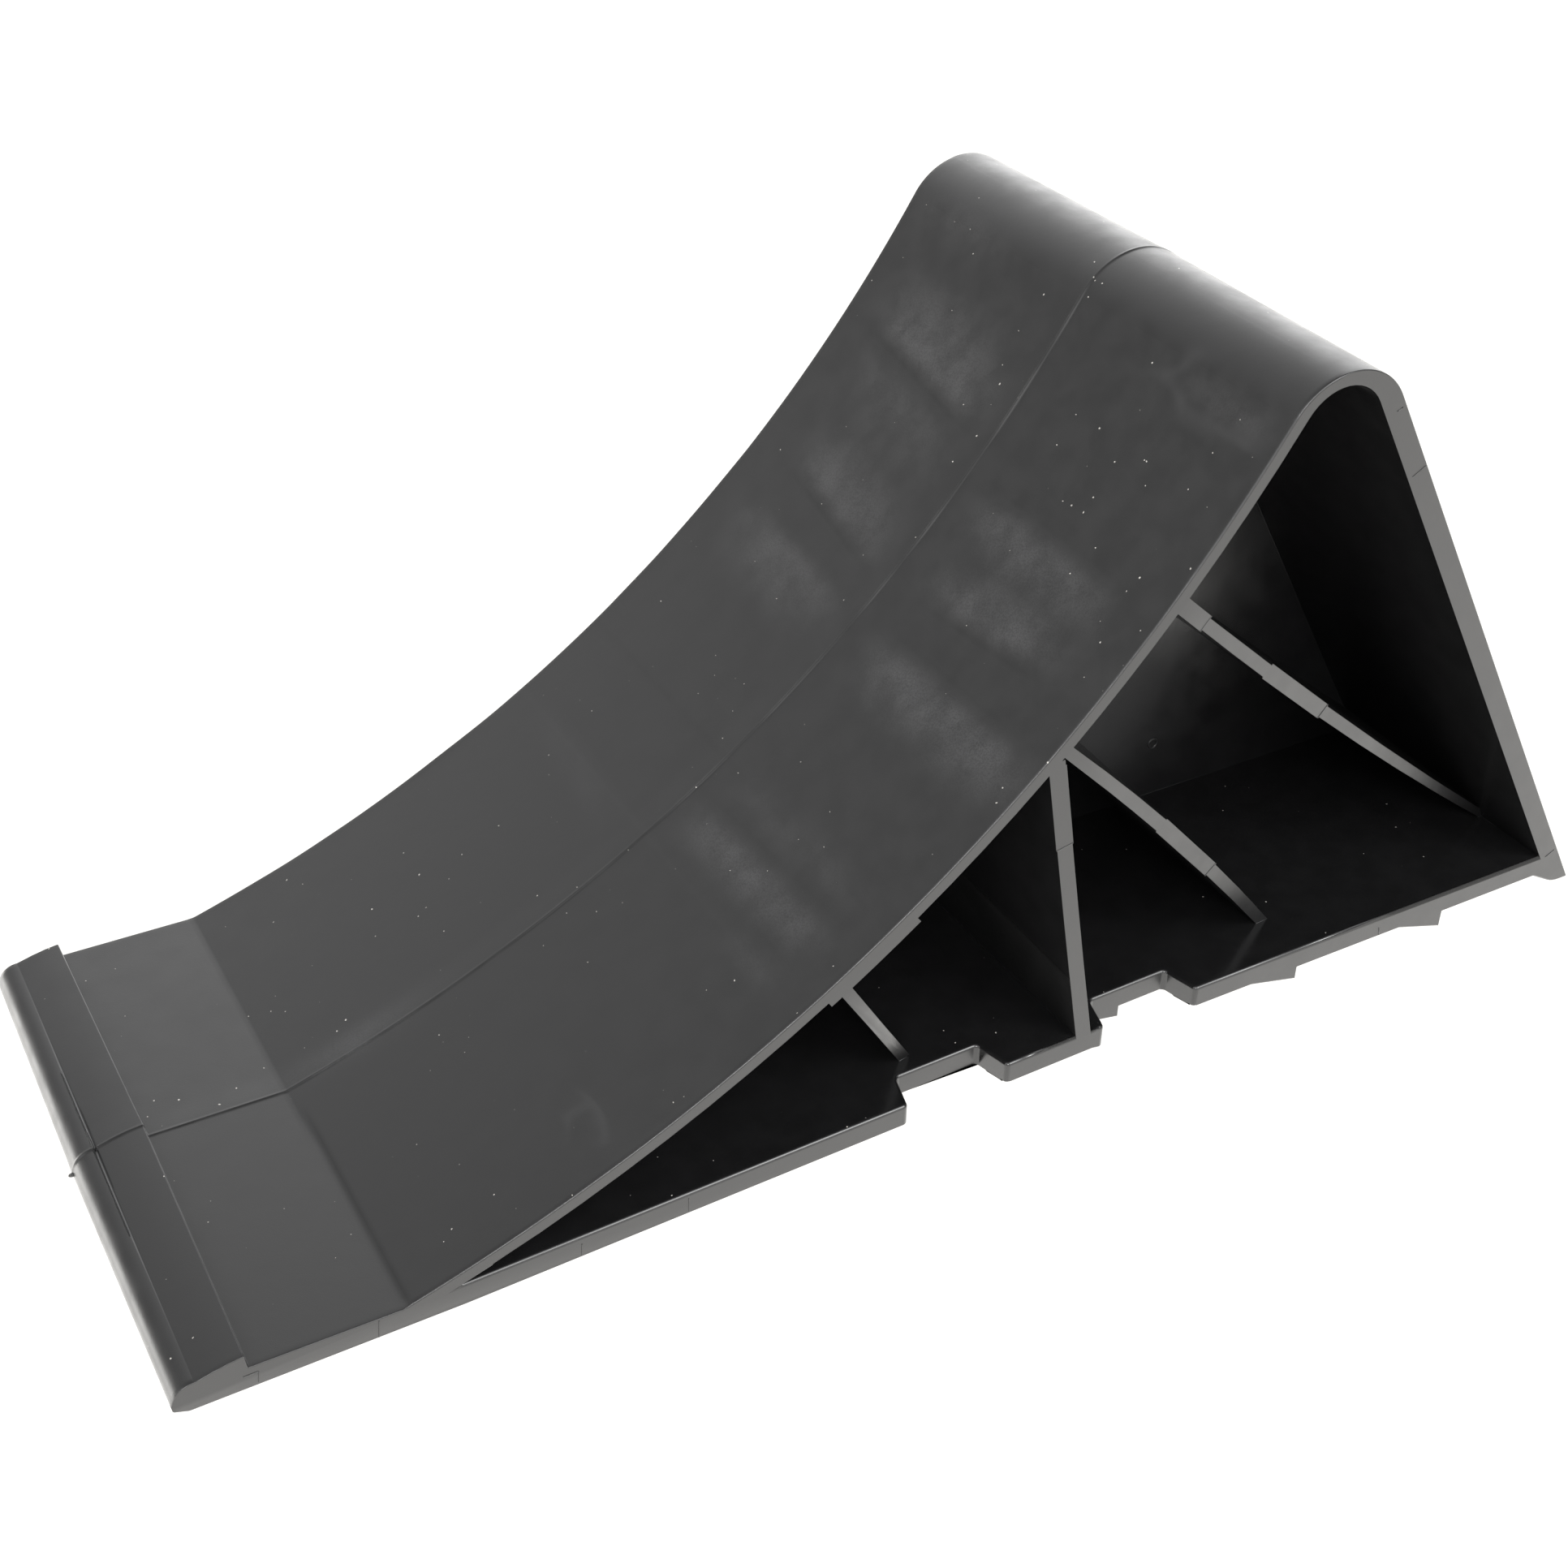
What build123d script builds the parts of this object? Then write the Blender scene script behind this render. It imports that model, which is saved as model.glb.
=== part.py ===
from build123d import *
import os
from math import atan2, cos, degrees, radians, sin, tan
from typing import NamedTuple

# One-piece moulded wheel chock, in millimetres. Stations run back from the toe tip, heights run up
# from the ground, and depths run out from the centre plane to a side. The origin is the middle of
# the footprint: +X points to the heel, +Z up. The two sides mirror each other in the XZ plane.

# Overall
LENGTH = 407.0
WIDTH = 160.0
HALF_WIDTH = WIDTH / 2
OUTER_DRAFT = 0.5  # degrees, narrows the outer faces from the parting plane to each side
POCKET_DRAFT = 1.0  # degrees, narrows each pocket from its side opening to the centre web
BELOW_GROUND = -10.0
ABOVE_CREST = 220.0

# Toe plate and nose lip, as points of the side outline
NOSE_FRONT = (0.0, 1.6)
NOSE_ROUND = (1.3, 6.2)
NOSE_TOP = (6.0, 8.0)
NOSE_FOOT_STATION = 4.0
LIP_MIDDLE = (11.4, 9.45)
LIP_TOP = (16.8, 10.2)
PLATE_FRONT = (17.2, 6.3)
CREASE = (51.0, 5.8)
CREASE_OVERLAP = 4.0

# Tyre face, crest and back wall
TYRE_RADIUS = 394.0
TYRE_CENTRE = (-56.0, 384.6)
CREST_RADIUS = 18.2
BACK_ANGLE = 59.75
FACE_WALL = 3.4
BACK_WALL = 6.0
CREST_INNER_RADIUS = 12.0

# Base plate
BASE_THICKNESS = 6.4
BASE_RISE_STATION = 67.0
BASE_LEVEL_STATION = 273.0
BASE_LEVEL_HEIGHT = 5.2
BASE_FRONT_STATION = 60.0
BASE_BACK_STATION = 401.0
BASE_EDGE_RADIUS = 1.0

# Ground teeth and heel spur
TOOTH_RUN = 16.0
TOOTH_TIPS = [(255.0, 1.2), (306.5, 1.2), (358.0, 0.0)]
SPUR_TOP_STATION = 392.3
SPUR_RAMP_END = (399.0, 1.3)
SPUR_BOTTOM_STATION = 403.8

# Holder notches in both long edges of the base
NOTCH_DEPTH = 10.0
NOTCH_MOUTH = 29.0
NOTCH_FLARE = 2.5
NOTCH_CORNER = 1.5
NOTCH_STATIONS = [198.5, 257.2]

# Centre web, ribs and ejector pads
WEB = 4.0
RIB_ROOT = 1.6  # how far a rib runs into the walls at its two ends
FACE_PAD_ANGLES = (33.0, 37.1)  # degrees about the tyre centre, from straight down
FACE_PAD_THICKENING = 1.6


class Rib(NamedTuple):
    """A stiffening rib, with pads as shares of its length from the face end to the base end."""

    face_end: tuple
    base_end: tuple
    bow: float  # how far the middle stands above the straight line between the ends
    setback: float  # how far the outer edge falls back from the side plane at the base end
    thickness: tuple  # at the face end, the middle and the base end
    pad_thickness: float
    pads: list


RIBS = [
    Rib((250.9, 131.9), (393.6, 11.7), -1.75, 23.0, (3.2, 3.0, 1.4), 4.4, [(-0.01, 0.06), (0.24, 0.414)]),
    Rib((222.7, 100.9), (304.8, 11.7), 1.6, 14.3, (3.1, 3.4, 2.7), 4.3, [(0.415, 0.68)]),
    Rib((219.8, 97.6), (236.2, 10.1), -0.2, 0.0, (4.4, 4.4, 4.4), 4.9, [(0.0, 0.27)]),
    Rib((165.5, 52.4), (191.2, 10.7), 0.0, 14.5, (3.2, 2.8, 2.6), 0.0, []),
]


def underside(station):
    """Height of the flat part of the underside at a station."""
    rise = (station - BASE_RISE_STATION) / (BASE_LEVEL_STATION - BASE_RISE_STATION)
    return BASE_LEVEL_HEIGHT * min(max(rise, 0.0), 1.0)


def back_face(height, inset=0.0):
    """Station of the back wall at a height, moved in from the outer face by inset."""
    return LENGTH - height / tan(radians(BACK_ANGLE)) - inset / sin(radians(BACK_ANGLE))


def prism(outline, depth, thickness, taper=0.0):
    """A station-height outline carried from one depth towards the centre plane."""
    plane = Plane(origin=(-LENGTH / 2, -depth, 0), x_dir=(1, 0, 0), z_dir=(0, -1, 0))
    return extrude(plane * outline, amount=thickness, dir=(0, 1, 0), taper=taper)


def under_tyre(start, floor, circle_radius, back_inset, top_radius):
    """The area under the tyre circle, ahead of the back wall and above a floor line."""
    block = Polygon(
        (start, floor),
        (back_face(floor, back_inset), floor),
        (back_face(ABOVE_CREST, back_inset), ABOVE_CREST),
        (start, ABOVE_CREST),
        align=None,
    )
    area = block - Pos(*TYRE_CENTRE) * Circle(circle_radius)
    return fillet(area.vertices().sort_by(Axis.Y)[-1], top_radius)


def toe_outline():
    """Nose, lip and toe plate, carried below the ground so that the underside can be cut later."""
    plate_end = CREASE[0] + CREASE_OVERLAP
    edges = [
        ThreePointArc(NOSE_FRONT, NOSE_ROUND, NOSE_TOP),
        ThreePointArc(NOSE_TOP, LIP_MIDDLE, LIP_TOP),
        Polyline(LIP_TOP, PLATE_FRONT, CREASE, (plate_end, CREASE[1]), (plate_end, BELOW_GROUND)),
        Polyline((plate_end, BELOW_GROUND), (0, BELOW_GROUND), NOSE_FRONT),
    ]
    return make_face(Curve() + edges)


def ground_cut():
    """Everything below the underside, from ahead of the nose to behind the heel spur."""
    ahead = BELOW_GROUND
    behind = LENGTH - BELOW_GROUND
    below = BELOW_GROUND * 2
    profile = [(BASE_RISE_STATION, 0), (BASE_LEVEL_STATION, BASE_LEVEL_HEIGHT)]
    for tip_station, tip_height in TOOTH_TIPS:
        root_station = tip_station - TOOTH_RUN
        profile.append((root_station, underside(root_station)))
        profile.append((tip_station, tip_height))
        profile.append((tip_station, underside(tip_station)))
    profile.sort(key=lambda point: point[0])
    front = [(ahead, below), (ahead, NOSE_FRONT[1]), NOSE_FRONT, (NOSE_FOOT_STATION, 0)]
    spur_top = (SPUR_TOP_STATION, BASE_LEVEL_HEIGHT)
    spur_bottom = (SPUR_BOTTOM_STATION, 0)
    edges = [
        Polyline(*front, *profile, spur_top, SPUR_RAMP_END),
        TangentArc(spur_bottom, SPUR_RAMP_END, tangent=(-1, 0)),
        Polyline(spur_bottom, (behind, 0), (behind, below), (ahead, below)),
    ]
    return prism(make_face(Curve() + edges), HALF_WIDTH + 1, HALF_WIDTH + 1)


def base_plate():
    """Base plate with holder notches in its long edge and a rounded top edge."""
    side = Polygon(
        (BASE_FRONT_STATION, BASE_THICKNESS),
        (BASE_RISE_STATION, BASE_THICKNESS),
        (BASE_LEVEL_STATION, BASE_LEVEL_HEIGHT + BASE_THICKNESS),
        (BASE_BACK_STATION, BASE_LEVEL_HEIGHT + BASE_THICKNESS),
        (BASE_BACK_STATION, BELOW_GROUND),
        (BASE_FRONT_STATION, BELOW_GROUND),
        align=None,
    )
    plate = prism(side, HALF_WIDTH, HALF_WIDTH)
    for station in NOTCH_STATIONS:
        plate -= notch(station)
    notch_floor = NOTCH_DEPTH - HALF_WIDTH
    flanks = plate.edges().filter_by(Axis.Z).filter_by(lambda e: e.center().Y < notch_floor + 1)
    corners = flanks.sort_by(Axis.X)[1:-1]  # without the two ends of the plate
    plate = fillet(corners, NOTCH_CORNER)
    top_faces = plate.faces().filter_by(lambda f: f.normal_at().Z > 0.9)
    rim = [e for f in top_faces for e in f.edges() if e.center().Y < notch_floor + 0.5]
    return fillet(rim, BASE_EDGE_RADIUS)


def notch(station):
    """One trapezoid notch, narrower inside, as a cutter that runs past the side plane."""
    inner = NOTCH_MOUTH / 2 - NOTCH_FLARE
    outer = NOTCH_MOUTH / 2 + NOTCH_FLARE
    outline = Polygon(
        (-outer, -NOTCH_DEPTH), (outer, -NOTCH_DEPTH), (inner, NOTCH_DEPTH), (-inner, NOTCH_DEPTH), align=None
    )
    place = Pos(station - LENGTH / 2, -HALF_WIDTH, 2 * BELOW_GROUND)
    return place * extrude(outline, amount=ABOVE_CREST)


def rib_outline(rib, length):
    """A rib's outline along local X, with its two long edges as shallow arcs."""
    face, middle, base = (thickness / 2 for thickness in rib.thickness)
    start = -RIB_ROOT
    end = length + RIB_ROOT
    edges = [
        ThreePointArc((start, face), (length / 2, rib.bow + middle), (end, base)),
        Line((end, base), (end, -base)),
        ThreePointArc((end, -base), (length / 2, rib.bow - middle), (start, -face)),
        Line((start, -face), (start, face)),
    ]
    return make_face(Curve() + edges)


def pad_outline(rib, length, first, last):
    """The outline of a straight ejector pad that follows the rib's bow."""
    half_thickness = rib.pad_thickness / 2
    ends = [(share * length, 4 * rib.bow * share * (1 - share)) for share in (first, last)]
    upper = [(distance, offset + half_thickness) for distance, offset in ends]
    lower = [(distance, offset - half_thickness) for distance, offset in reversed(ends)]
    return Polygon(*upper, *lower, align=None)


def make_rib(rib, outer):
    """A rib and its ejector pads from the web outwards, trimmed to its sloping outer edge."""
    start = Vector(*rib.face_end)
    along = Vector(*rib.base_end) - start
    place = Pos(start) * Rot(0, 0, degrees(atan2(along.Y, along.X)))
    solid = prism(place * rib_outline(rib, along.length), HALF_WIDTH, HALF_WIDTH, -POCKET_DRAFT)
    for first, last in rib.pads:
        solid += prism(place * pad_outline(rib, along.length, first, last), HALF_WIDTH, HALF_WIDTH)
    if rib.setback:
        solid -= edge_trim(start, along, rib.setback)
    return solid & outer


def edge_trim(start, along, setback):
    """A wedge outside the rib's outer edge, from nothing at the face end to setback at the base end."""
    plane = Plane(
        origin=(start.X - LENGTH / 2, -HALF_WIDTH, start.Y),
        x_dir=(along.X, 0, along.Y),
        z_dir=(-along.Y, 0, along.X),
    )
    overrun = 1.1  # as a share of the rib's length
    end = along.length * overrun
    wedge = Polygon((0, 0), (end, 0), (end, setback * overrun), align=None)
    return extrude(plane * wedge, amount=2 * WEB, both=True)


def face_pad(outer):
    """Thicker band under the tyre face, above the front rib."""
    reach = 2 * TYRE_RADIUS
    rays = [(reach * sin(radians(angle)), -reach * cos(radians(angle))) for angle in FACE_PAD_ANGLES]
    ring = Circle(TYRE_RADIUS + FACE_WALL + FACE_PAD_THICKENING) - Circle(TYRE_RADIUS + FACE_WALL / 2)
    sector = ring & Polygon((0, 0), *rays, align=None)
    return prism(Pos(*TYRE_CENTRE) * sector, HALF_WIDTH, HALF_WIDTH) & outer


def chock_half():
    """One side of the chock, from its side plane to the centre plane."""
    profile = under_tyre(CREASE[0], BELOW_GROUND, TYRE_RADIUS, 0.0, CREST_RADIUS) + toe_outline()
    outer = prism(profile, HALF_WIDTH, HALF_WIDTH, -OUTER_DRAFT)
    pocket_radius = TYRE_RADIUS + FACE_WALL
    hollow = under_tyre(BASE_FRONT_STATION, 2 * BELOW_GROUND, pocket_radius, BACK_WALL, CREST_INNER_RADIUS)
    pocket = prism(hollow, HALF_WIDTH, HALF_WIDTH - WEB / 2, POCKET_DRAFT)
    half = outer - pocket + (base_plate() & outer)
    half += face_pad(outer)
    for rib in RIBS:
        half += make_rib(rib, outer)
    return half - ground_cut()


half = chock_half()
chock_body = half + mirror(half, about=Plane.XZ)
chock_body.label = "chock_body"

os.makedirs("parts", exist_ok=True)
export_step(chock_body, "parts/chock_body.step")
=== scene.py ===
import math
from typing import NamedTuple

import bmesh
import bpy
import numpy as np
from mathutils import Euler, Matrix, Vector, noise


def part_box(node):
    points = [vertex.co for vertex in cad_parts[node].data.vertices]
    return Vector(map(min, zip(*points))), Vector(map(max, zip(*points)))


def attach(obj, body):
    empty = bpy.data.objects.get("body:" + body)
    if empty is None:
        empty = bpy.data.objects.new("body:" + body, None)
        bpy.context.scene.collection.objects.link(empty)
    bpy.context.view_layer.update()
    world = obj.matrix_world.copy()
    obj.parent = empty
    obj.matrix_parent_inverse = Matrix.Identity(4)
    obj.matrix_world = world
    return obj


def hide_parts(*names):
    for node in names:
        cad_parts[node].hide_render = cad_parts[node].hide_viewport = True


# The looks of a one-piece moulded wheel chock, in metres unless a comment says otherwise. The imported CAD
# mesh is copied and refined: round stretches are put back on their true arcs, the marks that moulding
# leaves in the surface are raised or sunk in a fine grid, and edges are rounded. Then come the plastic,
# the studio and the camera. Places on the tyre face are an angle about the tyre's centre, measured
# from straight down, and a depth from the parting plane, negative on the camera's side.

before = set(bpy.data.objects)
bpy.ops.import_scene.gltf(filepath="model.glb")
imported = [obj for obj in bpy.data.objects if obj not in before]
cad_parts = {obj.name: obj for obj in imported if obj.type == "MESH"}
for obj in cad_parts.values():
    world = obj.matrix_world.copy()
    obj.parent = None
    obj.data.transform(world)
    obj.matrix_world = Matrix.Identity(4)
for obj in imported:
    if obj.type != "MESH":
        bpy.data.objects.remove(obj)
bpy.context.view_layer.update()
NODE = "chock_body"
LOW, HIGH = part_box(NODE)
HALF_WIDTH = HIGH.y
CREST = HIGH.z

MM = 0.001
SAME_PLACE = 1e-6
ON_PLANE = 0.1 * MM  # how near to the parting plane or a side plane a vertex on it lies
TOE_TIP = -203.5 * MM  # the nose's foremost point on a side plane

# Refinement
FLAT_ANGLE = math.radians(0.15)  # facets that differ by less are merged
FACE_ROWS = 18  # rows of quads in each facet of the tyre face
CREST_ROWS = 6  # in each facet of the crest
NOSE_ROWS = 4  # in each facet of the nose
HALF_COLUMNS = 70  # columns of quads on each side of the parting line
COLUMN_SPREAD = 1.4  # above 1 packs the columns towards the parting line
CREST_SHARE = 0.95  # of the height, above which the skin is the crest
TOE_PLATE = 50 * MM  # from the tip, ahead of which nothing is tyre face
NOSE_REACH = 5.5 * MM  # from the tip, behind which nothing is nose
PAIR_ANGLE = math.radians(1.2)  # the most that two triangles of one quad differ
FACE_SLOPE = math.radians(-12)  # the normals of the tyre face lean further towards the toe
RUNG_SHORT = 2 * MM  # how much less than the half width an edge across the skin may span
ON_ARC = 0.02 * MM  # how near to an arc the skin on it lies
MARK_REACH = 6 * MM  # how far off the tyre's arc the skin still gets the tyre face's marks
EDGE_ROUND = 0.55 * MM  # along the long edges of the tyre face
EDGE_ANGLE = math.radians(34)  # sharper edges are rounded
OUTER = 0.55  # share of that rounding on the other outer edges
CRISP = 0.2  # and on the edges where a pocket begins

# Parting line
RIDGE_HEIGHT = 0.2 * MM
RIDGE_WIDTH = 0.25 * MM
RIDGE_REACH = 1 * MM  # from the parting plane, within which edges belong to the ridge
RIDGE_NOISE = 70.0  # per metre
MISMATCH = 0.12 * MM  # how far the far half of the mould stands above the near half
MISMATCH_FADE = 9.0 * MM

# Flash along the long edges of the tyre face
RIM_HEIGHT = 0.35 * MM
RIM_WIDTH = 0.5 * MM
RIM_NOISE = 45.0  # per metre

# Marks on the tyre face
UNDULATION = 0.03 * MM  # height of the slow waves
UNDULATION_SCALE = 28.0  # per metre
SIDE_FADE = 2.0 * MM  # from a side, where the marks fade out
GROOVE_DEPTH = 0.05 * MM
GROOVE_WIDTH = 0.08  # degrees
SWALE_DEPTH = 0.16 * MM
SWALE_WIDTH = 0.55  # degrees
END_FADE = 13.0  # millimetres of depth at a groove's ends
BLOOM_RISE = 0.9  # degrees from a groove to the full bloom beside it
PAD_STEP = 0.04 * MM
PAD_EDGE = 0.1  # degrees
PAD_BAND = (32.0, 36.1)  # degrees at the lower and the upper edge of the band over the pad
CURL_LINE = 0.3  # share of a curl's reach, as are the warp and the opening
CURL_HEIGHT = 0.015 * MM
CURL_WARP = 0.8
CURL_OPENING = (-1.2, 0.4)  # where along a curl its ring begins and is full
CREASE_ANGLE = 16.15  # degrees
CREASE_DEPTH = 0.3 * MM
CREASE_WIDTH = 0.12  # degrees
CREASE_START = (-6.0, -22.0)  # depths in millimetres where it begins and is full


class Sink(NamedTuple):
    """A groove that a rib leaves in the tyre face as it cools, with bloom beside it: rougher plastic, made
    paler by painted sheen.
    """

    angle: float  # degrees at the first end
    tilt: float  # degrees that the groove gains towards its last end
    first: float  # millimetres of depth
    last: float
    groove: float  # share of the full depth
    above: float  # strength of the bloom above the groove
    below: float
    spread: float  # degrees over which the bloom fades


SINKS = [
    Sink(49.95, -0.1, -14, -60, 1.0, 0.0, 0.9, 3.2),
    Sink(45.05, 0.45, -18, -58, 0.8, 1.0, 0.0, 3.0),
    Sink(43.6, 0.15, -16, -74, 0.9, 0.0, 1.0, 3.4),
    Sink(34.7, 0.3, -10, -64, 0.5, 0.3, 1.0, 2.4),
    Sink(32.75, 0.0, -51, -63, 0.9, 0.0, 0.6, 1.6),
    Sink(51.0, 0.9, 13, 61, 1.0, 1.1, 0.5, 4.2),
    Sink(44.75, 0.9, 13, 54, 1.0, 1.1, 0.0, 3.6),
    Sink(43.8, 0.5, 13, 60, 0.2, 0.0, 0.9, 3.6),
    Sink(32.3, 0.4, 16, 60, 0.3, 0.0, 0.2, 2.0),
]


class BloomAndSheen(NamedTuple):
    """A patch of bloom on the tyre face without a groove: rougher plastic, made paler by painted sheen."""

    angle: float  # degrees
    depth: float  # millimetres
    reach: tuple  # degrees and millimetres
    strength: float


BLOOM_AND_SHEEN_PATCHES = [
    BloomAndSheen(19.0, 3.0, (2.6, 4.5), 0.9),
    BloomAndSheen(57.6, 56.0, (1.0, 20.0), 0.5),
    BloomAndSheen(56.6, -62.0, (0.5, 14.0), 0.5),
]


class Curl(NamedTuple):
    """A curled flow line: an open ring about a place on the tyre face."""

    angle: float  # degrees
    depth: float  # millimetres
    reach: tuple  # degrees and millimetres
    flatness: float
    turn: float  # radians


CURLS = [
    Curl(57.0, -55.0, (1.1, 20.0), 1.3, 2.4),
    Curl(23.9, -64.0, (0.7, 10.0), 2.0, 0.7),
]

# Small marks on the sides, as station and height in millimetres
WITNESS_LINES = [
    ((15.8, 4.1), (19.1, 4.1)),
    ((19.2, 4.0), (18.8, 0.8)),
    ((46.8, 5.2), (46.3, 0.3)),
    ((96.0, 4.8), (95.8, 1.2)),
    ((123.6, 6.2), (123.6, 2.0)),
    ((334.6, 8.2), (335.2, 5.5)),
    ((305.8, 167.8), (307.4, 168.5)),
    ((314.6, 149.3), (318.1, 151.4)),
    ((395.5, 10.9), (398.5, 12.4)),
]
PAD_ENDS = [  # on the ribs' outer edges, with the depth from the side plane in millimetres
    ((260.6, 126.1), (257.8, 122.7), 1.4),
    ((310.3, 82.5), (307.5, 79.2), 9.5),
    ((281.1, 42.7), (277.9, 39.7), 9.7),
    ((226.4, 74.4), (221.7, 73.5), 0.0),
]
WITNESS_WIDTH = 0.35 * MM
WITNESS_HEIGHT = 0.12 * MM
WITNESS_TOP = 0.4  # share of the width that a line has at its top
WEB_FACE = 2.0 * MM
GATE_PLACE = (313.3, 29.5)
GATE_RADIUS = 1.5 * MM
GATE_THICKNESS = 0.28 * MM
GATE_STEPS = 32
GATE_SIDES = 8
NOSE_FLASH = 0.7 * MM
NOSE_FLASH_SHAPE = (1.6, 0.45, 1.0)
NOSE_FLASH_HEIGHT = 2.9 * MM

# Corners of the side outline, as station and height in millimetres, too tight to round
TIGHT_CORNERS = [
    (0.5, 1.2),
    (3.5, 0.2),
    (59.0, 4.5),
    (64.5, 5.6),
    (66.4, 6.3),
    (79.1, 10.6),
    (234.1, 9.6),
    (238.6, 9.4),
    (393.6, 10.9),
]
TIGHT_REACH = 2.2 * MM

# Finishes
SATIN = 0  # material slots, in the order in which the materials are appended
GLOSSY = 1
EDGE_ON = 0.8  # sideways share of the normal of a face seen from the side
RIB_EDGE_DEPTH = 40 * MM  # such faces nearer to the parting plane are the web
UNDERSIDE_TOP = 15 * MM  # faces that look down from below this height are the underside
PLASTIC_IOR = 1.5
BLACK = 0.0055  # diffuse reflectance of the black plastic
BLUENESS = 1.03  # blue over red and green
TONE_CHANGE = 0.1  # share by which the patches change the tone
GRAIN_SCALE = 2600.0  # per metre, as are the scales below
SPECKLE_SCALE = 2400.0
PATCH_SCALE = 120.0
PATCH_RANGE = (0.3, 0.7)  # values of the patches' noise that give the two ends of a change
RIPPLE_SCALE = 220.0
RIPPLE_HEIGHT = 0.02 * MM
BLOOM_ROUGHNESS = 8.0  # roughness that a reflectance of 1 in bloom would add
RAGGED_BLOOM = (0.35, 0.65, 0.55, 1.0)  # two values of the noise, and the bloom's share at each
SPECKLED_BLOOM = (0.36, 0.6, 0.3, 1.0)
STREAK_TONE = 0.006
DUST_SCALE = 360.0
DUST_SIZES = (0.06, 0.1)  # of a dust cell, where there is little dust and where it gathers
DUST_SKEW = 3.0  # above 1 makes most specks small
DUST_GATHER_SCALE = 16.0
DUST_GATHERED = (0.4, 0.65)  # values of the noise for little and for gathered dust
DUST_WARP = 0.5 * MM
DUST_WARP_SCALE = 1300.0
DUST_SLOPES = (0.1, 0.5)  # upward share of the normal where dust begins to lie and lies fully
DUST_COLOUR = (0.28, 0.27, 0.25, 1.0)


class Finish(NamedTuple):
    """How the mould's surface left the plastic."""

    roughness: float
    variation: float  # of the roughness, over centimetres
    grain: float  # height of the fine texture
    dust: float  # painted sheen: reflectance that full bloom adds to the colour; it also scales the bloom's added roughness
    bloom_and_sheen: float  # reflectance that full bloom adds


OUTSIDE = Finish(0.36, 0.04, 0.014 * MM, 0.7, 0.022)
POCKETS = Finish(0.22, 0.03, 0.003 * MM, 0.3, 0.0)

# Studio
FLOOR_REACH = 6.0
STUDIO_SEEN = 1.2  # brightness of floor and sky for the camera
FLOOR_LIT = 2.8  # brightness of the floor for the chock
FLOOR_AHEAD = 7.0  # in the band ahead of the nose
FLOOR_COLOUR = (1.0, 0.985, 0.955, 1.0)
NOSE_GLOW = 20 * MM  # from the nose, where the band is full
GLOW_FADE = (80 * MM, 200 * MM)  # from the nose, where the band fades and ends
SKY_LIGHT = 0.05
SOFTBOXES = [  # azimuth and elevation in degrees, sharpness, strength
    (45.0, 15.0, 6.0, 4.7),
    (95.0, 38.0, 9.0, 1.7),
    (128.0, 18.0, 8.0, 0.35),
    (-90.0, 35.0, 4.0, 2.4),
    (-118.0, 35.0, 110.0, 45.0),
    (-62.0, 40.0, 30.0, 18.0),
    (-172.0, 32.0, 8.0, 4.0),
]

# Camera
SENSOR = 36.0  # millimetres
LENS = 50.75  # millimetres
VIEW_SHIFT = (-0.0069, 0.0147)  # of the sensor
NEAR_CLIP = 0.01
CAMERA_PLACE = Vector((-242.5, -414.0, 382.0)) * MM
CAMERA_TARGET = Vector((-7.4, 0.0, 44.85)) * MM
CAMERA_ROLL = math.radians(0.85)


def fit_circle(points):
    """Centre and radius of the circle nearest to points in the XZ plane."""
    x, z = points[:, 0], points[:, 2]
    matrix = np.column_stack([2 * x, 2 * z, np.ones(len(x))])
    solution = np.linalg.lstsq(matrix, x * x + z * z, rcond=None)[0]
    centre = solution[:2]
    return centre, math.sqrt(solution[2] + centre @ centre)


def positions(verts):
    return np.array([vert.co for vert in verts], float).reshape(-1, 3)


def slope(face):
    """Angle of a face's normal from straight up, towards the heel."""
    return math.atan2(face.normal.x, face.normal.z)


def skin_faces(bm):
    """The outer faces that run from the parting plane to a side, without the underside."""
    found = []
    for face in bm.faces:
        depths = [abs(vert.co.y) for vert in face.verts]
        wide = min(depths) < ON_PLANE and max(depths) > HALF_WIDTH - ON_PLANE
        if wide and face.normal.z > 0:
            found.append(face)
    return found


def first_arcs(bm):
    """The arcs of the tyre face, the crest and the nose, from the CAD mesh's facets."""
    tyre = []
    crest = []
    nose = []
    for face in skin_faces(bm):
        middle = face.calc_center_median()
        if middle.z / CREST > CREST_SHARE:
            crest.append(face)
        elif middle.x < TOE_TIP + NOSE_REACH:
            nose.append(face)
        elif slope(face) < FACE_SLOPE and middle.x > TOE_TIP + TOE_PLATE:
            tyre.append(face)
    return Arc(tyre), Arc(crest), Arc(nose)


def along_edges(faces):
    """Edges of these faces that run along the profile, at one depth."""
    edges = {edge for face in faces for edge in face.edges}
    return [e for e in edges if abs(e.verts[0].co.y - e.verts[1].co.y) < SAME_PLACE]


def across_edges(faces):
    """Edges of these faces that run from the parting plane to a side."""
    edges = {edge for face in faces for edge in face.edges}
    return [e for e in edges if abs(e.verts[0].co.y - e.verts[1].co.y) > HALF_WIDTH - RUNG_SHORT]


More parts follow.
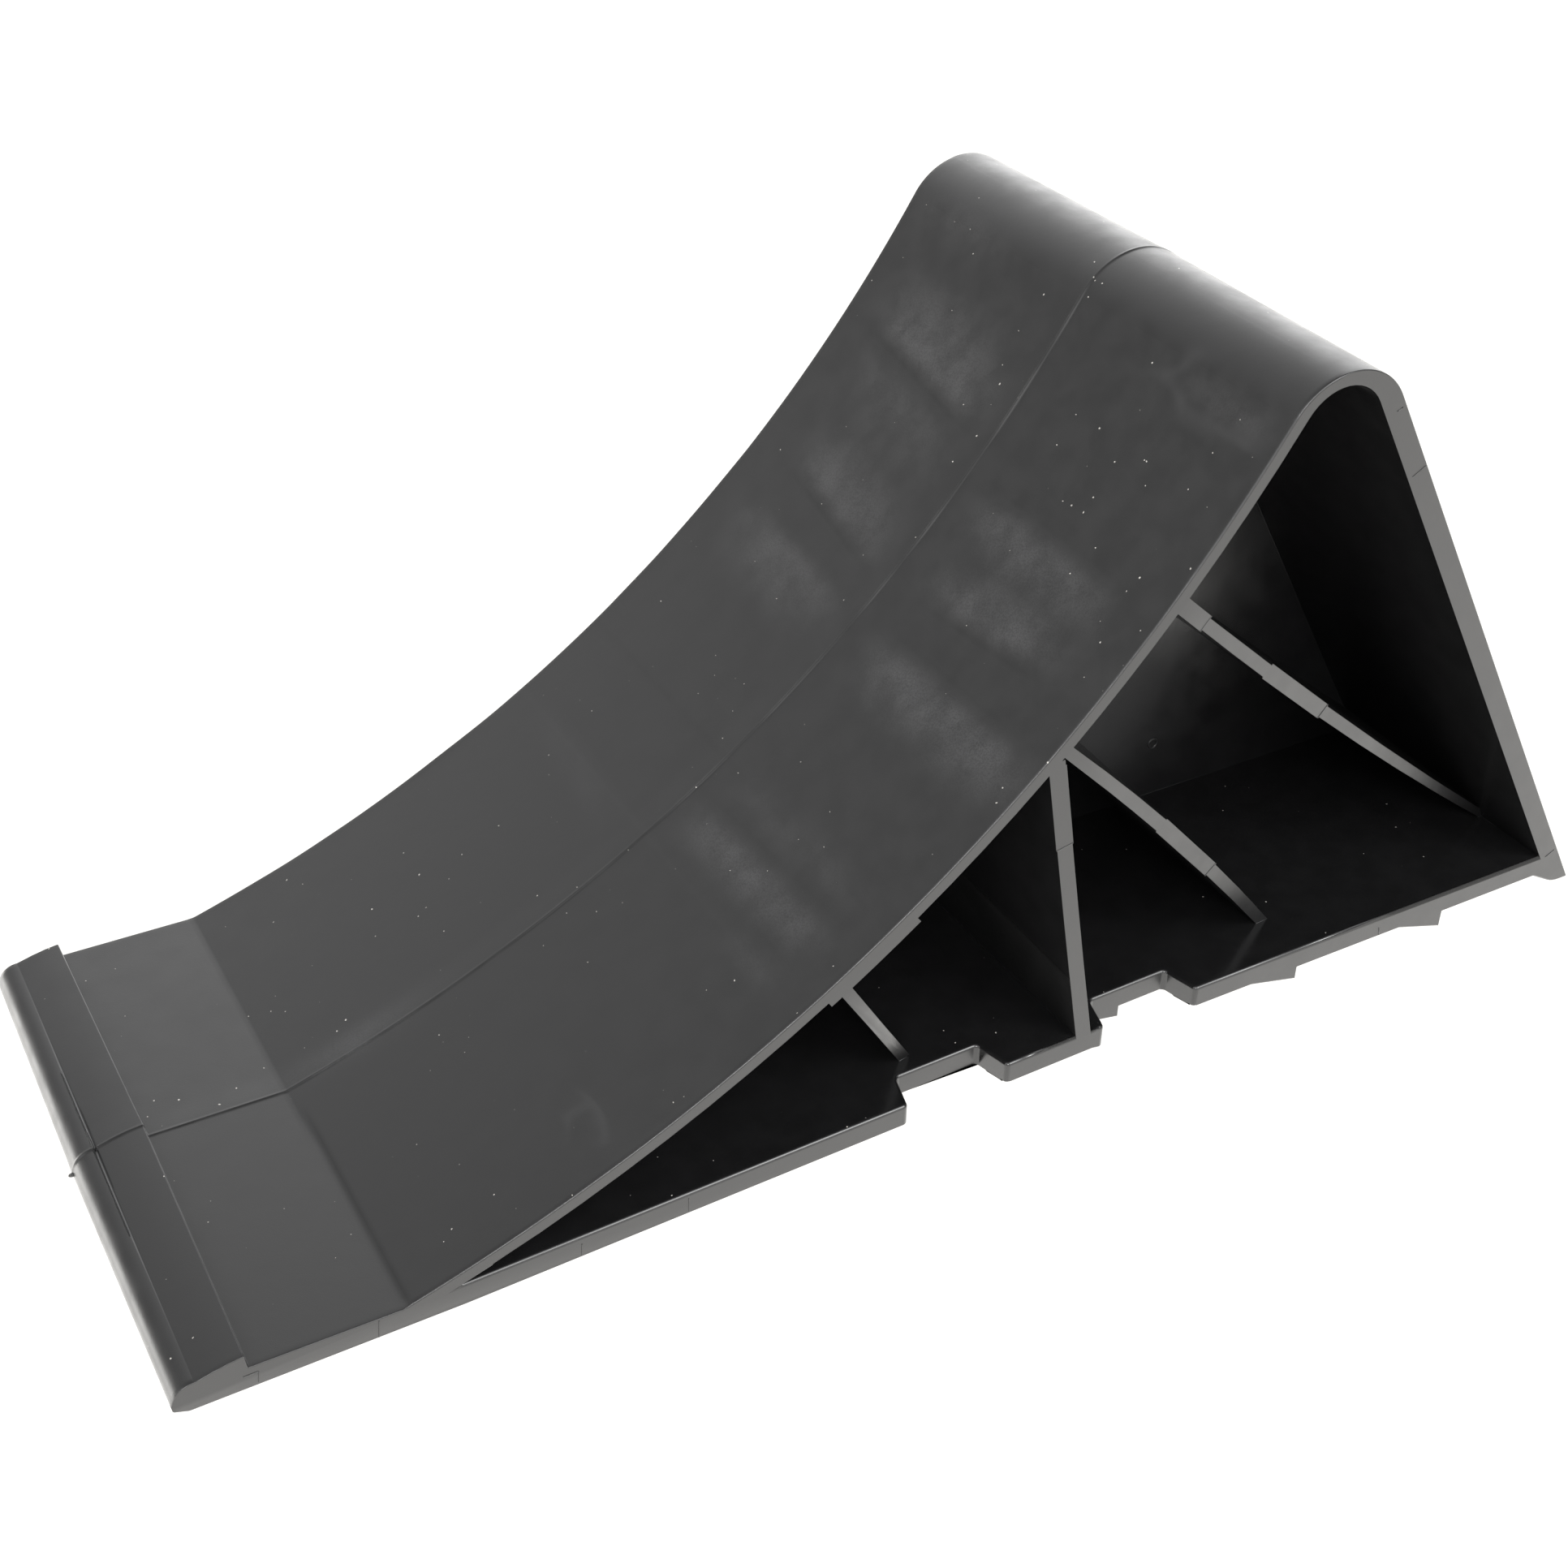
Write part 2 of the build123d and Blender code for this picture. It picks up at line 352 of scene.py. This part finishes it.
class Arc:
    """A round stretch of the profile, whose radius changes with depth because of the draft."""

    def __init__(self, faces):
        points = positions({vert for face in faces for vert in face.verts})
        depth = np.abs(points[:, 1])
        side = points[depth > HALF_WIDTH - ON_PLANE]
        middle = points[depth < ON_PLANE]
        self.centre, self.side_radius = fit_circle(side)
        self.middle_radius = float(np.hypot(*(middle[:, [0, 2]] - self.centre).T).mean())

    def radius(self, depth):
        share = abs(depth) / HALF_WIDTH
        return self.middle_radius + (self.side_radius - self.middle_radius) * share

    def arms(self, verts):
        """Distances of these vertices from the arc's axis, and how far each one is off the arc."""
        points = positions(verts)
        arms = np.hypot(*(points[:, [0, 2]] - self.centre).T)
        return arms, np.abs(arms - [self.radius(y) for y in points[:, 1]])

    def holds(self, face):
        """Whether the whole face lies on this arc."""
        return self.arms(face.verts)[1].max() < ON_ARC

    def angle(self, place):
        """Degrees about the axis from straight down, towards the heel."""
        return math.degrees(math.atan2(place.x - self.centre[0], self.centre[1] - place.z))

    def snap(self, verts):
        """Moves these vertices straight out or in onto the arc."""
        for vert in verts:
            arm = np.array([vert.co.x, vert.co.z]) - self.centre
            arm *= self.radius(vert.co.y) / np.hypot(*arm)
            vert.co.x, vert.co.z = self.centre + arm


def new_verts(cut):
    """The vertices that a subdivision made."""
    return [item for item in cut["geom_inner"] if isinstance(item, bmesh.types.BMVert)]


def square_up_toe(bm):
    """Makes quads of the triangles in the nose and the lip, and closes the slivers left in the skin."""
    toe = [face for face in skin_faces(bm) if face.calc_center_median().x < TOE_TIP + TOE_PLATE]
    bmesh.ops.join_triangles(
        bm,
        faces=toe,
        angle_face_threshold=PAIR_ANGLE,
        angle_shape_threshold=math.pi,
    )
    slivers = [face for face in skin_faces(bm) if len(face.verts) == 3]
    bmesh.ops.collapse(bm, edges=along_edges(slivers))
    bm.normal_update()


def refine_skin(bm):
    """Cuts the outer skin into columns, and its round stretches into a fine grid on their arcs."""
    square_up_toe(bm)
    arcs = first_arcs(bm)
    for arc, rows in zip(arcs, (FACE_ROWS, CREST_ROWS, NOSE_ROWS)):
        edges = along_edges(face for face in skin_faces(bm) if arc.holds(face))
        cut = bmesh.ops.subdivide_edges(bm, edges=edges, cuts=rows - 1, use_grid_fill=True)
        arc.snap(new_verts(cut))
    bm.normal_update()
    rungs = across_edges(skin_faces(bm))
    layer = bm.verts.layers.float["on_skin"]
    lean = bm.verts.layers.float_vector["lean"]
    for rung in rungs:
        inner, outer = sorted(rung.verts, key=lambda vert: abs(vert.co.y))
        for vert in rung.verts:
            vert[layer] = 1.0
            vert[lean] = outer.co - inner.co
    bmesh.ops.subdivide_edges(bm, edges=rungs, cuts=HALF_COLUMNS - 1, use_grid_fill=True)
    skin = [vert for vert in bm.verts if vert[layer] > 0.5]
    spread_columns(skin, lean)
    bm.normal_update()
    return arcs[0], skin


def spread_columns(verts, lean):
    """Moves the columns towards the parting line along the skin's straight rungs."""
    for vert in verts:
        share = abs(vert.co.y) / HALF_WIDTH
        moved = share**COLUMN_SPREAD
        vert.co.x += vert[lean].x * (moved - share)
        vert.co.z += vert[lean].z * (moved - share)
        vert.co.y = math.copysign(HALF_WIDTH * moved, vert.co.y)


def smooth(value, low, high):
    """0 below low, 1 above high and a smooth rise between them."""
    share = min(max((value - low) / (high - low), 0.0), 1.0)
    return share * share * (3 - 2 * share)


def bell(distance, width):
    """1 at no distance, and a bell-shaped fall to 1/e at width."""
    return math.exp(-((distance / width) ** 2))


def sink_marks(angle, depth):
    """Height, and bloom (extra roughness with painted sheen), that the rib sinks give a place on the tyre
    face.
    """
    height = 0.0
    bloom_and_sheen = 0.0
    for sink in SINKS:
        low, high = sorted((sink.first, sink.last))
        inside = smooth(depth, low - END_FADE, low + END_FADE)
        inside *= 1 - smooth(depth, high - END_FADE, high + END_FADE)
        if not inside:
            continue
        along = (depth - sink.first) / (sink.last - sink.first)
        off = angle - sink.angle - sink.tilt * along
        depression = GROOVE_DEPTH * bell(off, GROOVE_WIDTH) + SWALE_DEPTH * bell(off, SWALE_WIDTH)
        height -= inside * sink.groove * depression
        strength = sink.above if off > 0 else sink.below
        rise = smooth(abs(off), 0.0, BLOOM_RISE)
        fall = 1 - smooth(abs(off), BLOOM_RISE, sink.spread)
        bloom_and_sheen = max(bloom_and_sheen, inside * strength * rise * fall)
    for patch in BLOOM_AND_SHEEN_PATCHES:
        off = (angle - patch.angle) / patch.reach[0]
        along = (depth - patch.depth) / patch.reach[1]
        bloom_and_sheen = max(bloom_and_sheen, patch.strength * bell(math.hypot(off, along), 1.0))
    return height, bloom_and_sheen


def pad_step(angle):
    """The slight sink of the band over the thicker pad under the face."""
    low, high = PAD_BAND
    inside = smooth(angle, low - PAD_EDGE, low + PAD_EDGE)
    return -PAD_STEP * inside * (1 - smooth(angle, high - PAD_EDGE, high + PAD_EDGE))


def crease(angle, depth):
    """The fine groove across the near half where the toe plate meets the tyre face."""
    inside = smooth(-depth, -CREASE_START[0], -CREASE_START[1])
    return -CREASE_DEPTH * inside * bell(angle - CREASE_ANGLE, CREASE_WIDTH)


def flow_marks(angle, depth):
    """Height and streak of the two places where the plastic curled as it met itself."""
    height = 0.0
    streak = 0.0
    for curl in CURLS:
        u = (angle - curl.angle) / curl.reach[0]
        v = (depth - curl.depth) / curl.reach[1]
        u += CURL_WARP * noise.noise(Vector((u, v, curl.turn)))
        v += CURL_WARP * noise.noise(Vector((u, v, -curl.turn)))
        turned = u * math.cos(curl.turn) + v * math.sin(curl.turn)
        crossed = v * math.cos(curl.turn) - u * math.sin(curl.turn)
        ring = bell(math.hypot(turned, crossed * curl.flatness) - 1, CURL_LINE)
        open_side = smooth(turned, *CURL_OPENING)
        height += CURL_HEIGHT * ring * open_side
        streak += ring * open_side
    return height, streak


def parting_line(place):
    """Height of the parting line's ridge, and of the step between the two halves of the mould."""
    wander = noise.noise(Vector((place.x, 0, place.z)) * RIDGE_NOISE)
    ridge = RIDGE_HEIGHT * (1 + wander) * bell(place.y, RIDGE_WIDTH)
    step = MISMATCH * smooth(place.y, 0, RIDGE_WIDTH) * (1 - smooth(place.y, 0, MISMATCH_FADE))
    return ridge + step


def rim(place):
    """How far the flash along the face's long edges stands up at a place."""
    wander = noise.noise(place * RIM_NOISE)
    return RIM_HEIGHT * max(wander, 0.0) * bell(HALF_WIDTH - abs(place.y), RIM_WIDTH)


def add_marks(bm, tyre, skin):
    """Raises and sinks the skin by the marks of moulding, and writes their bloom and streaks to layers."""
    bloom_and_sheen_layer = bm.verts.layers.float["bloom_and_sheen"]
    streak_layer = bm.verts.layers.float["streak"]
    heights = []
    for vert, off in zip(skin, tyre.arms(skin)[1]):
        height = parting_line(vert.co)
        if off < ON_ARC:
            height += rim(vert.co)
        if off < MARK_REACH:
            angle = tyre.angle(vert.co)
            depth = vert.co.y / MM
            sink, vert[bloom_and_sheen_layer] = sink_marks(angle, depth)
            curl, vert[streak_layer] = flow_marks(angle, depth)
            away_from_side = smooth(HALF_WIDTH - abs(vert.co.y), 0, SIDE_FADE)
            wave = UNDULATION * noise.noise(vert.co * UNDULATION_SCALE)
            marks = sink + curl + wave + crease(angle, depth) + pad_step(angle)
            height += away_from_side * marks
        heights.append(height)
    for vert, height in zip(skin, heights):
        vert.co += vert.normal * height


def add_bar(bm, start, end, side, depth=0.0):
    """A witness line: a fine closed bar half sunk in a face parallel to the side plane."""
    first, last = (Vector((TOE_TIP + x * MM, 0, z * MM)) for x, z in (start, end))
    across = (last - first).normalized().cross(Vector((0, 1, 0))) * WITNESS_WIDTH / 2
    corners = []
    for proud, share in ((-WITNESS_HEIGHT, 1.0), (WITNESS_HEIGHT, WITNESS_TOP)):
        out = Vector((0, side * (HALF_WIDTH + proud - depth * MM), 0))
        for point, sign in ((first, -1), (first, 1), (last, 1), (last, -1)):
            corners.append(bm.verts.new(point + sign * share * across + out))
    for loop in ((0, 1, 2, 3), (7, 6, 5, 4), (0, 4, 5, 1), (1, 5, 6, 2), (2, 6, 7, 3), (3, 7, 4, 0)):
        bm.faces.new([corners[index] for index in loop])


def add_ring(bm, centre):
    """The ring that a gate leaves on the web, half sunk in it."""
    rings = []
    for step in range(GATE_STEPS):
        turn = 2 * math.pi * step / GATE_STEPS
        out = Vector((math.cos(turn), 0, math.sin(turn)))
        ring = []
        for part in range(GATE_SIDES):
            roll = 2 * math.pi * part / GATE_SIDES
            reach = GATE_RADIUS + GATE_THICKNESS * math.cos(roll)
            rise = Vector((0, GATE_THICKNESS * math.sin(roll), 0))
            ring.append(bm.verts.new(centre + out * reach + rise))
        rings.append(ring)
    for first, second in zip(rings, rings[1:] + rings[:1]):
        for part in range(GATE_SIDES):
            after = (part + 1) % GATE_SIDES
            bm.faces.new((first[part], first[after], second[after], second[part]))


def add_small_marks(bm):
    """Witness lines and a gate ring on both sides, and the bead of flash on the nose."""
    for side in (-1, 1):
        for start, end in WITNESS_LINES:
            add_bar(bm, start, end, side)
        for start, end, depth in PAD_ENDS:
            add_bar(bm, start, end, side, depth)
        add_ring(bm, Vector((TOE_TIP + GATE_PLACE[0] * MM, side * WEB_FACE, GATE_PLACE[1] * MM)))
    flash = Matrix.Translation((LOW.x, 0, NOSE_FLASH_HEIGHT)) @ Matrix.Diagonal((*NOSE_FLASH_SHAPE, 1))
    bmesh.ops.create_icosphere(bm, subdivisions=3, radius=NOSE_FLASH, matrix=flash)


def is_tight(edge):
    """Whether an edge is beside a corner that is too tight to round."""
    middle = (edge.verts[0].co + edge.verts[1].co) / 2
    if abs(middle.y) < HALF_WIDTH - TIGHT_REACH:
        return False
    return any(
        math.hypot(middle.x - TOE_TIP - station * MM, middle.z - height * MM) < TIGHT_REACH
        for station, height in TIGHT_CORNERS
    )


def on_ridge(edge):
    """Whether an edge runs along the parting line's ridge."""
    first, last = (vert.co.y for vert in edge.verts)
    return abs(first - last) < SAME_PLACE and abs(first) < RIDGE_REACH


def rounding(edge):
    """The share of the full rounding that a sharp edge gets."""
    if any(face.material_index == GLOSSY for face in edge.link_faces):
        return CRISP
    ahead = edge.verts[0].co.x < TOE_TIP + TOE_PLATE
    on_face = any(slope(face) < FACE_SLOPE for face in edge.link_faces)
    return 1.0 if on_face and not ahead else OUTER


def weigh_edges(bm):
    """Marks the sharp edges for the bevel with their share of the rounding."""
    layer = bm.edges.layers.float.new("bevel_weight_edge")
    for edge in bm.edges:
        sharp = edge.is_manifold and edge.calc_face_angle() > EDGE_ANGLE
        if sharp and not is_tight(edge) and not on_ridge(edge):
            edge[layer] = rounding(edge)


def finish_faces(bm):
    """Gives each face the satin outer finish or the glossier finish of the pockets."""
    skin = set(skin_faces(bm))
    for face in bm.faces:
        place = face.calc_center_median()
        edge_on = abs(face.normal.y) > EDGE_ON and abs(place.y) > RIB_EDGE_DEPTH
        below = face.normal.z < 0 and place.z < UNDERSIDE_TOP
        face.material_index = SATIN if face in skin or edge_on or below else GLOSSY


def build_skin():
    """The chock as one refined piece that stands for its CAD node."""
    bm = bmesh.new()
    bm.from_mesh(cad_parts[NODE].data)
    for layer in ("on_skin", "bloom_and_sheen", "streak"):
        bm.verts.layers.float.new(layer)
    bm.verts.layers.float_vector.new("lean")
    bmesh.ops.remove_doubles(bm, verts=bm.verts, dist=SAME_PLACE)
    bmesh.ops.dissolve_limit(bm, angle_limit=FLAT_ANGLE, verts=bm.verts, edges=bm.edges)
    bm.normal_update()
    finish_faces(bm)
    tyre, outer = refine_skin(bm)
    add_marks(bm, tyre, outer)
    bm.normal_update()
    weigh_edges(bm)
    add_small_marks(bm)
    mesh = bpy.data.meshes.new("chock_skin")
    bm.to_mesh(mesh)
    bm.free()
    mesh.polygons.foreach_set("use_smooth", [True] * len(mesh.polygons))
    skin = bpy.data.objects.new("chock_skin", mesh)
    bpy.context.scene.collection.objects.link(skin)
    bevel = skin.modifiers.new("edges", "BEVEL")
    bevel.width = EDGE_ROUND
    bevel.segments = 2
    bevel.limit_method = "WEIGHT"
    bevel.use_clamp_overlap = False
    bevel.miter_outer = "MITER_ARC"
    skin.modifiers.new("normals", "WEIGHTED_NORMAL")
    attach(skin, "root")
    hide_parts(NODE)
    return skin


# Plastic


class Shader:
    """Builds a node tree: each call adds one node, wires its inputs and returns one of its outputs.

    Sockets that share their name with another one of the node go by their number.
    """

    def __init__(self, owner):
        owner.use_nodes = True
        self.tree = owner.node_tree
        self.tree.nodes.clear()

    def node(self, kind, inputs=(), output=0, **settings):
        made = self.tree.nodes.new(kind)
        for name, value in settings.items():
            setattr(made, name, value)
        for socket, value in dict(inputs).items():
            if isinstance(value, bpy.types.NodeSocket):
                self.tree.links.new(value, made.inputs[socket])
            else:
                made.inputs[socket].default_value = value
        return made.outputs[output] if made.outputs else None

    def maths(self, operation, first, second=0.0, clamp=False):
        inputs = {0: first, 1: second}
        return self.node("ShaderNodeMath", inputs, operation=operation, use_clamp=clamp)

    def remap(self, value, low, high, new_low=0.0, new_high=1.0):
        """Maps low..high smoothly to new_low..new_high, and holds the ends."""
        inputs = {"Value": value, 1: low, 2: high, 3: new_low, 4: new_high}
        return self.node("ShaderNodeMapRange", inputs, interpolation_type="SMOOTHSTEP")

    def noise(self, place, scale, detail=2.0, roughness=0.5):
        inputs = {"Vector": place, "Scale": scale, "Detail": detail, "Roughness": roughness}
        return self.node("ShaderNodeTexNoise", inputs)


def plastic(name, finish):
    """The black plastic with one of its finishes."""
    material = bpy.data.materials.new(name)
    shader = Shader(material)
    place = shader.node("ShaderNodeTexCoord", output="Object")
    patches = shader.noise(place, PATCH_SCALE, detail=4.0, roughness=0.6)
    # the bloom mask drives both the real extra roughness and the painted sheen in the colour
    bloom_and_sheen = shader.maths("MULTIPLY", bloom_and_sheen_amount(shader, place, patches), finish.bloom_and_sheen)
    speck = dust(shader, place, finish.dust)
    inputs = {0: speck, 6: plain_colour(shader, patches, bloom_and_sheen), 7: DUST_COLOUR}
    dusty = shader.node("ShaderNodeMix", inputs, output=2, data_type="RGBA")
    uneven = shader.remap(patches, *PATCH_RANGE, -finish.variation, finish.variation)
    roughness = shader.maths("ADD", uneven, finish.roughness)
    dulled = shader.maths("MULTIPLY", bloom_and_sheen, BLOOM_ROUGHNESS)
    inputs = {
        "Base Color": dusty,
        "Roughness": shader.maths("ADD", roughness, dulled, clamp=True),
        "IOR": PLASTIC_IOR,
        "Normal": texture(shader, place, finish.grain),
    }
    surface = shader.node("ShaderNodeBsdfPrincipled", inputs)
    shader.node("ShaderNodeOutputMaterial", {"Surface": surface})
    return material


def plain_colour(shader, patches, bloom_and_sheen):
    """The plastic's colour, paler along the flow curls, with painted sheen added in the bloom in place of
    the light that its rougher plastic scatters.
    """
    tone = shader.remap(patches, *PATCH_RANGE, BLACK * (1 - TONE_CHANGE), BLACK * (1 + TONE_CHANGE))
    streak = shader.node("ShaderNodeAttribute", output="Fac", attribute_name="streak")
    # painted sheen: the bloom's paleness is added to the colour, standing in for light scattered by the
    # rougher patches
    tone = shader.maths("ADD", tone, bloom_and_sheen)
    tone = shader.maths("ADD", tone, shader.maths("MULTIPLY", streak, STREAK_TONE))
    blue = shader.maths("MULTIPLY", tone, BLUENESS)
    return shader.node("ShaderNodeCombineColor", {"Red": tone, "Green": tone, "Blue": blue})


def texture(shader, place, height):
    """The surface's ripples, and the fine grain on them."""
    ripple = shader.noise(place, RIPPLE_SCALE)
    inputs = {"Height": ripple, "Distance": RIPPLE_HEIGHT, "Strength": 1.0}
    rippled = shader.node("ShaderNodeBump", inputs)
    grain = shader.noise(place, GRAIN_SCALE, detail=3.0, roughness=0.6)
    inputs = {"Height": grain, "Distance": height, "Strength": 1.0, "Normal": rippled}
    return shader.node("ShaderNodeBump", inputs)


def bloom_and_sheen_amount(shader, place, patches):
    """The bloom of the sink marks, which sets both its real extra roughness and its painted sheen, broken
    up into grains with a ragged rim.
    """
    bloom_and_sheen = shader.node("ShaderNodeAttribute", output="Fac", attribute_name="bloom_and_sheen")
    ragged = shader.remap(patches, *RAGGED_BLOOM)
    speckle = shader.remap(shader.noise(place, SPECKLE_SCALE, roughness=0.7), *SPECKLED_BLOOM)
    return shader.maths("MULTIPLY", shader.maths("MULTIPLY", bloom_and_sheen, ragged), speckle)


def dust(shader, place, share):
    """Pale specks of dust on the surfaces that face up, one in some of the cells."""
    inputs = {"Vector": place, "Scale": DUST_WARP_SCALE}
    warp = shader.node("ShaderNodeTexNoise", inputs, output="Color")
    warp = shader.node("ShaderNodeVectorMath", {0: warp, "Scale": DUST_WARP}, operation="SCALE")
    place = shader.node("ShaderNodeVectorMath", {0: place, 1: warp})
    inputs = {"Vector": place, "Scale": DUST_SCALE, "Randomness": 1.0}
    distance = shader.node("ShaderNodeTexVoronoi", inputs)
    colour = shader.node("ShaderNodeTexVoronoi", inputs, output="Color")
    lot = shader.node("ShaderNodeSeparateColor", {0: colour})
    size = shader.maths("POWER", shader.remap(lot, 1 - share, 1.0), DUST_SKEW)
    gathered = shader.remap(shader.noise(place, DUST_GATHER_SCALE), *DUST_GATHERED, *DUST_SIZES)
    size = shader.maths("MULTIPLY", size, gathered)
    speck = shader.maths("LESS_THAN", distance, size)
    normal = shader.node("ShaderNodeNewGeometry", output="Normal")
    up = shader.node("ShaderNodeSeparateXYZ", {"Vector": normal}, output="Z")
    return shader.maths("MULTIPLY", speck, shader.remap(up, *DUST_SLOPES))


# Studio


def seen_or_lit(shader, seen, lit):
    """White for the camera, and the studio's own brightness for everything that it lights."""
    camera_ray = shader.node("ShaderNodeLightPath")
    return shader.node("ShaderNodeMix", {"Factor": camera_ray, 2: lit, 3: seen})


def floor_light(shader):
    """The floor's brightness, which is higher in a band ahead of the nose."""
    place = shader.node("ShaderNodeTexCoord", output="Object")
    station = shader.node("ShaderNodeSeparateXYZ", {"Vector": place}, output="X")
    clear_of_nose = shader.remap(station, TOE_TIP - NOSE_GLOW, TOE_TIP, 1.0, 0.0)
    full, faded = GLOW_FADE
    near_nose = shader.remap(station, TOE_TIP - faded, TOE_TIP - full)
    glow = shader.maths("MULTIPLY", clear_of_nose, near_nose)
    return shader.remap(glow, 0.0, 1.0, FLOOR_LIT, FLOOR_AHEAD)


def add_floor():
    """A pale lit plane."""
    mesh = bpy.data.meshes.new("floor")
    corners = [(x * FLOOR_REACH, y * FLOOR_REACH, 0) for x, y in ((-1, -1), (1, -1), (1, 1), (-1, 1))]
    mesh.from_pydata(corners, [], [(0, 1, 2, 3)])
    floor = bpy.data.objects.new("floor", mesh)
    bpy.context.scene.collection.objects.link(floor)
    material = bpy.data.materials.new("lit_floor")
    shader = Shader(material)
    strength = seen_or_lit(shader, STUDIO_SEEN, floor_light(shader))
    surface = shader.node("ShaderNodeEmission", {"Color": FLOOR_COLOUR, "Strength": strength})
    shader.node("ShaderNodeOutputMaterial", {"Surface": surface})
    mesh.materials.append(material)


def add_world():
    """Soft light from broad lobes of the sky, as large diffusers around the object give."""
    world = bpy.data.worlds.new("studio")
    shader = Shader(world)
    direction = shader.node("ShaderNodeTexCoord", output="Generated")
    light = SKY_LIGHT
    for azimuth, elevation, sharpness, strength in SOFTBOXES:
        aim = Vector((1, 0, 0))
        aim.rotate(Euler((0, -math.radians(elevation), math.radians(azimuth))))
        inputs = {0: direction, 1: aim}
        facing = shader.node("ShaderNodeVectorMath", inputs, output="Value", operation="DOT_PRODUCT")
        lobe = shader.maths("POWER", shader.maths("MAXIMUM", facing, 0.0), sharpness)
        light = shader.maths("ADD", shader.maths("MULTIPLY", lobe, strength), light)
    surface = shader.node("ShaderNodeBackground", {"Strength": seen_or_lit(shader, STUDIO_SEEN, light)})
    shader.node("ShaderNodeOutputWorld", {"Surface": surface})
    bpy.context.scene.world = world
    bpy.context.scene.view_settings.view_transform = "Standard"


def add_camera():
    """The camera, which looks at the nose, the tyre face and the near side from above."""
    data = bpy.data.cameras.new("camera")
    data.lens = LENS
    data.sensor_width = SENSOR
    data.shift_x, data.shift_y = VIEW_SHIFT
    data.clip_start = NEAR_CLIP
    camera = bpy.data.objects.new("camera", data)
    aim = (CAMERA_TARGET - CAMERA_PLACE).to_track_quat("-Z", "Y").to_matrix().to_4x4()
    camera.matrix_world = Matrix.Translation(CAMERA_PLACE) @ aim @ Matrix.Rotation(CAMERA_ROLL, 4, "Z")
    bpy.context.scene.collection.objects.link(camera)
    bpy.context.scene.camera = camera


skin = build_skin()
skin.data.materials.append(plastic("satin_plastic", OUTSIDE))
skin.data.materials.append(plastic("glossy_plastic", POCKETS))
add_floor()
add_world()
add_camera()
